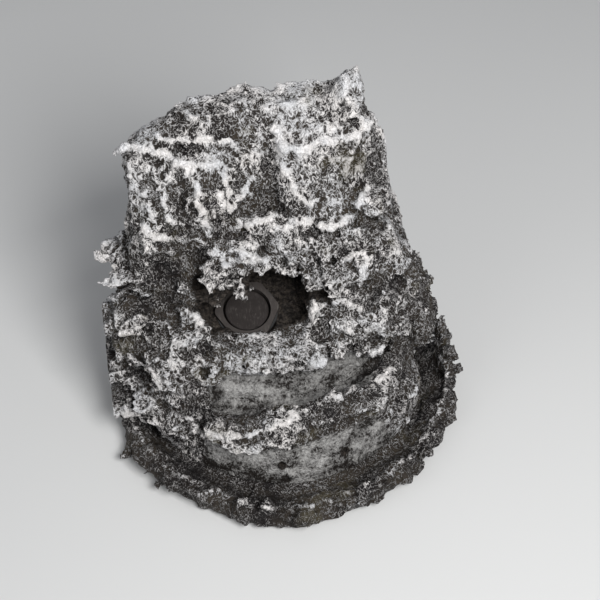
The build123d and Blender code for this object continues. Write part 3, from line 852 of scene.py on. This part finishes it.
class Shader:
    """A small helper that adds nodes to one material and joins them up."""

    def __init__(self, name, roughness=0.6, metallic=0.0, specular=0.5):
        self.material = bpy.data.materials.new(name)
        self.material.use_nodes = True
        self.tree = self.material.node_tree
        self.surface = self.tree.nodes["Principled BSDF"]
        self.surface.inputs["Roughness"].default_value = roughness
        self.surface.inputs["Metallic"].default_value = metallic
        self.surface.inputs["Specular IOR Level"].default_value = specular

    def node(self, kind, **settings):
        node = self.tree.nodes.new("ShaderNode" + kind)
        for key, value in settings.items():
            setattr(node, key, value)
        return node

    def feed(self, socket, value):
        if isinstance(value, bpy.types.NodeSocket):
            self.tree.links.new(value, socket)
        else:
            socket.default_value = value

    def place(self, scale=(1, 1, 1)):
        """Object coordinates, in metres times scale."""
        mapping = self.node("Mapping")
        self.feed(mapping.inputs["Vector"], self.node("TexCoord").outputs["Object"])
        mapping.inputs["Scale"].default_value = scale
        return mapping.outputs["Vector"]

    def attribute(self, name):
        return self.node("Attribute", attribute_name=name).outputs["Fac"]

    def noise(self, scale, detail=4.0, rough=0.6, at=None, warp=0.0, kind="FBM"):
        node = self.node("TexNoise", noise_type=kind)
        node.inputs["Scale"].default_value = scale
        node.inputs["Detail"].default_value = detail
        node.inputs["Roughness"].default_value = rough
        node.inputs["Distortion"].default_value = warp
        if kind == "RIDGED_MULTIFRACTAL":
            node.inputs["Offset"].default_value = 1.0
        self.feed(node.inputs["Vector"], at or self.place())
        return node.outputs["Fac"]

    def clamped(self, value):
        return self.math("MAXIMUM", self.math("MINIMUM", value, 1.0), 0.0)

    def math(self, operation, a, b):
        node = self.node("Math", operation=operation)
        self.feed(node.inputs[0], a)
        self.feed(node.inputs[1], b)
        return node.outputs[0]

    def ramp(self, value, low, high, to_low=0.0, to_high=1.0):
        """Carries low..high smoothly to to_low..to_high."""
        node = self.node("MapRange", interpolation_type="SMOOTHSTEP")
        self.feed(node.inputs["Value"], value)
        limits = {"From Min": low, "From Max": high, "To Min": to_low, "To Max": to_high}
        for key, number in limits.items():
            node.inputs[key].default_value = number
        return node.outputs["Result"]

    def total(self, *terms):
        """The sum of each value times its weight."""
        result = None
        for value, weight in terms:
            term = self.node("Math", operation="MULTIPLY_ADD")
            self.feed(term.inputs[0], value)
            term.inputs[1].default_value = weight
            if result is not None:
                self.feed(term.inputs[2], result)
            else:
                term.inputs[2].default_value = 0
            result = term.outputs[0]
        return result

    def mix(self, share, a, b):
        node = self.node("Mix", data_type="RGBA")
        self.feed(node.inputs[0], share)
        self.feed(node.inputs[6], a)
        self.feed(node.inputs[7], b)
        return node.outputs[2]

    def bump(self, height, distance, strength):
        node = self.node("Bump")
        node.inputs["Strength"].default_value = strength
        node.inputs["Distance"].default_value = distance
        self.feed(node.inputs["Height"], height)
        return node.outputs["Normal"]

    def finish(self, color, roughness, normal):
        for key, value in (("Base Color", color), ("Roughness", roughness), ("Normal", normal)):
            if value is not None:
                self.feed(self.surface.inputs[key], value)
        return self.material


def rock_material(name, painted_shade_offset):
    """Near-black resin, dry-brushed white on every crest, with brown and olive stains, and painted
    shade: darker lower down, in hollows, in the cave and the holes, and on the base through its
    darker offset.
    """
    s = Shader(name, roughness=0.8, specular=0.2)
    region = s.noise(30, 4)
    mottle = s.noise(330, 6, 0.72, warp=0.5)
    split = s.node("SeparateXYZ")
    s.feed(split.inputs[0], s.place())
    # Painted shade: the brush thins towards the bottom, so the rock is darker lower down, where
    # less light falls.
    low = s.ramp(split.outputs["Z"], 0.055, 0.005)
    tall = s.place((1, 1, 0.6))
    lines_wide = s.noise(110, 3, 0.6, tall, 0.5, "RIDGED_MULTIFRACTAL")
    lines_fine = s.noise(520, 4, 0.75, tall, 0.8, "RIDGED_MULTIFRACTAL")
    grain = s.noise(1300, 2, 0.7)

    brush = s.total(
        (s.attribute("crest"), 0.40),
        (s.attribute("edge"), 0.19),
        # Painted shade: lift darkens the hollows and clefts and lightens the bulges.
        (s.attribute("lift"), 0.20),
        (s.attribute("brush_and_shade"), 1.1),
        # brush zones, and zones of painted light and shade
        (s.attribute("brush_and_light_cloud"), 1.3),
        (lines_wide, 0.30),
        (lines_fine, 0.72),
        (mottle, 0.35),
        (region, 1.9),
        (grain, 0.5),
        (low, -0.25),
        (1.0, painted_shade_offset - 2.36),
    )
    cover = s.math("POWER", s.clamped(brush), 1.8)
    threads = s.ramp(lines_fine, 1.25, 1.85, 0.0, 0.42)
    threads = s.math("MULTIPLY", threads, s.ramp(brush, -0.7, 0.3))
    cover = s.math("MAXIMUM", cover, threads)
    tint = s.noise(45, 3)
    dark = s.mix(s.ramp(tint, 0.35, 0.7), (0.012, 0.010, 0.010, 1), (0.040, 0.032, 0.024, 1))
    light = s.mix(s.ramp(tint, 0.35, 0.65), (0.84, 0.805, 0.78, 1), (0.70, 0.70, 0.71, 1))
    color = s.mix(cover, dark, light)
    stain = s.math("MULTIPLY", s.ramp(s.noise(38, 4, 0.6), 0.58, 0.72), 0.4)
    color = s.mix(stain, color, (0.10, 0.085, 0.045, 1))
    wall_tone = s.total(
        (s.noise(55, 4, 0.65), 3.0),
        (s.noise(150, 4, 0.7, s.place((0.5, 0.5, 1.4))), 2.2),
        (mottle, 1.6),
        (grain, 0.6),
        # Painted shade: the smooth walls darken towards the trough at the bottom.
        (s.ramp(split.outputs["Z"], 0.021, 0.009), -0.42),
        (lines_fine, 0.35),
        # Painted shade: lift darkens the hollows and lightens the bulges of the walls.
        (s.attribute("lift"), 0.10),
        (1.0, 0.8 * painted_shade_offset - 3.74),
    )
    wall = s.mix(s.clamped(wall_tone), (0.016, 0.013, 0.011, 1), (0.46, 0.45, 0.435, 1))
    color = s.mix(s.ramp(s.attribute("smooth"), 0.35, 0.9), color, wall)
    # Painted shade: the cave and the return holes are coloured near black.
    painted_shade_color = s.mix(s.ramp(mottle, 0.4, 0.65), (0.012, 0.010, 0.009, 1), (0.07, 0.058, 0.048, 1))
    color = s.mix(s.ramp(s.attribute("brush_and_shade"), -0.2, -0.8), color, painted_shade_color)
    rough = s.ramp(cover, 0, 0.8, 0.55, 0.9)
    height = s.total((mottle, 0.7), (lines_wide, 0.25), (lines_fine, 0.55), (grain, 0.3))
    return s.finish(color, rough, s.bump(height, 0.0011, 0.8))


def plain_material(name, low, high, roughness, scale=400, metallic=0.0):
    """A moulded or machined surface: faint mottling, and fine unevenness in its gloss."""
    s = Shader(name, roughness=roughness, metallic=metallic)
    mottle = s.noise(scale, 4, 0.6)
    color = s.mix(mottle, (*low, 1), (*high, 1))
    rough = s.ramp(s.noise(scale * 0.4, 3), 0.3, 0.7, roughness - 0.08, roughness + 0.08)
    return s.finish(color, rough, s.bump(mottle, 0.00004, 0.6))


def scratched_material(name, low, high):
    """Dark plastic with fine slanting scratches, as on the cap and its collar."""
    s = Shader(name, roughness=0.6, specular=0.25)
    slant = s.place((1.0, 0.12, 1.0))
    slant.node.inputs["Rotation"].default_value = (0, 0, math.radians(-55))
    scratches = s.ramp(s.noise(900, 3, 0.7, slant, 0.4), 0.5, 0.72)
    dust = s.noise(220, 5, 0.7)
    color = s.mix(dust, (*low, 1), (*high, 1))
    share = s.math("MULTIPLY", scratches, s.ramp(dust, 0.4, 0.7, 0.05, 0.35))
    color = s.mix(share, color, (0.2, 0.185, 0.17, 1))
    return s.finish(color, None, s.bump(scratches, 0.0001, 0.5))


# Name of the look, darkest and lightest colour, roughness, scale of the mottling, metallic.
PLAIN_LOOKS = {
    "black_rubber": ("black_rubber_look", (0.02, 0.02, 0.02), (0.035, 0.035, 0.035), 0.8),
    "clear_hose": ("clear_hose_look", (0.55, 0.6, 0.6), (0.66, 0.7, 0.69), 0.35),
    "pump_plastic": ("pump_plastic_look", (0.02, 0.02, 0.022), (0.035, 0.035, 0.04), 0.45, 900),
    "dial_plastic": ("dial_plastic_look", (0.38, 0.39, 0.4), (0.46, 0.47, 0.48), 0.4),
    "core_steel": ("core_steel_look", (0.35, 0.35, 0.36), (0.5, 0.5, 0.51), 0.4, 700, 1.0),
    "winding": ("winding_look", (0.45, 0.18, 0.06), (0.6, 0.27, 0.09), 0.3, 1500, 0.6),
    "potting_resin": ("potting_look", (0.015, 0.015, 0.015), (0.03, 0.03, 0.03), 0.2),
    "impeller_plastic": ("impeller_look", (0.8, 0.79, 0.75), (0.88, 0.87, 0.83), 0.4),
    "magnet": ("magnet_look", (0.03, 0.03, 0.032), (0.06, 0.06, 0.062), 0.5, 1200),
    "shaft_steel": ("shaft_look", (0.6, 0.6, 0.62), (0.7, 0.7, 0.72), 0.2, 1500, 1.0),
    "bush_ceramic": ("bush_look", (0.82, 0.81, 0.77), (0.9, 0.89, 0.85), 0.3),
    "foot_rubber": ("foot_look", (0.03, 0.03, 0.03), (0.05, 0.05, 0.05), 0.85),
    "cup_rubber": ("cup_look", (0.045, 0.045, 0.05), (0.07, 0.07, 0.075), 0.5),
}
SCRATCHED_LOOKS = {
    "collar_plastic": ("collar_plastic_look", (0.034, 0.029, 0.027), (0.066, 0.057, 0.052)),
    "cap_plastic": ("cap_plastic_look", (0.014, 0.011, 0.010), (0.036, 0.030, 0.028)),
}


def paint_cad_nodes():
    """Gives the CAD nodes that stay their materials, by the slot that the record names."""
    dress = {slot: scratched_material(*look) for slot, look in SCRATCHED_LOOKS.items()}
    dress.update({slot: plain_material(*look) for slot, look in PLAIN_LOOKS.items()})
    slots = {part["node"]: part["material_slot"] for part in frame["record"]["subparts"]}
    for name, node in frame["nodes"].items():
        if slots[name] in dress:
            for slot in node.material_slots:
                slot.material = dress[slots[name]]


# --- Stage --------------------------------------------------------------------------------


def camera():
    target = Vector((0, 0.025, 0.080))
    turn, rise, distance = math.radians(-8), math.radians(52), 0.85
    flat = math.cos(rise)
    back = Vector((math.sin(turn) * flat, -math.cos(turn) * flat, math.sin(rise)))
    data = bpy.data.cameras.new("camera")
    data.lens = 85
    data.shift_x = 0.03
    eye = bpy.data.objects.new("camera", data)
    eye.location = target + back * distance
    eye.rotation_euler = (-back).to_track_quat("-Z", "Y").to_euler()
    bpy.context.scene.collection.objects.link(eye)
    bpy.context.scene.camera = eye


def area_light(name, at, towards, size, power):
    data = bpy.data.lights.new(name, "AREA")
    data.energy, data.size = power, size
    light = bpy.data.objects.new(name, data)
    light.location = at
    light.rotation_euler = (Vector(towards) - Vector(at)).to_track_quat("-Z", "Y").to_euler()
    bpy.context.scene.collection.objects.link(light)


def stage():
    mesh = bpy.data.meshes.new("floor")
    mesh.from_pydata([(-3, -3, 0), (3, -3, 0), (3, 3, 0), (-3, 3, 0)], [], [(0, 1, 2, 3)])
    floor = bpy.data.objects.new("floor", mesh)
    bpy.context.scene.collection.objects.link(floor)
    look = plain_material("floor_look", (0.62, 0.62, 0.61), (0.64, 0.64, 0.63), 0.8, 3)
    floor.data.materials.append(look)
    world = bpy.data.worlds.new("world")
    bpy.context.scene.world = world
    world.use_nodes = True
    sky = world.node_tree.nodes["Background"]
    sky.inputs["Color"].default_value = (0.9, 0.93, 1.0, 1)
    sky.inputs["Strength"].default_value = 0.25
    area_light("key", (0.25, -0.55, 0.85), (0, 0, 0.12), 0.45, 10.5)
    area_light("fill", (-0.8, -0.5, 0.6), (0, 0, 0.08), 0.8, 2.5)


# --- Put it together ----------------------------------------------------------------------

bpy.context.scene.view_settings.view_transform = "Standard"
camera()
stage()
rock_look = rock_material("rock_look", 0.0)
# The base uses the rock's look painted darker: painted shade on the lower casting, where less light
# falls.
base_shaded_look = rock_material("base_shaded_look", -0.85)
for piece, node, body, slot, look in (
    (rock_body(), "rock_body", "rock", "rock_resin", rock_look),
    (base_basin(), "base_basin", "base", "base_resin", base_shaded_look),
):
    piece.data.materials.append(look)
    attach(piece, body)
    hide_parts(node)
paint_cad_nodes()
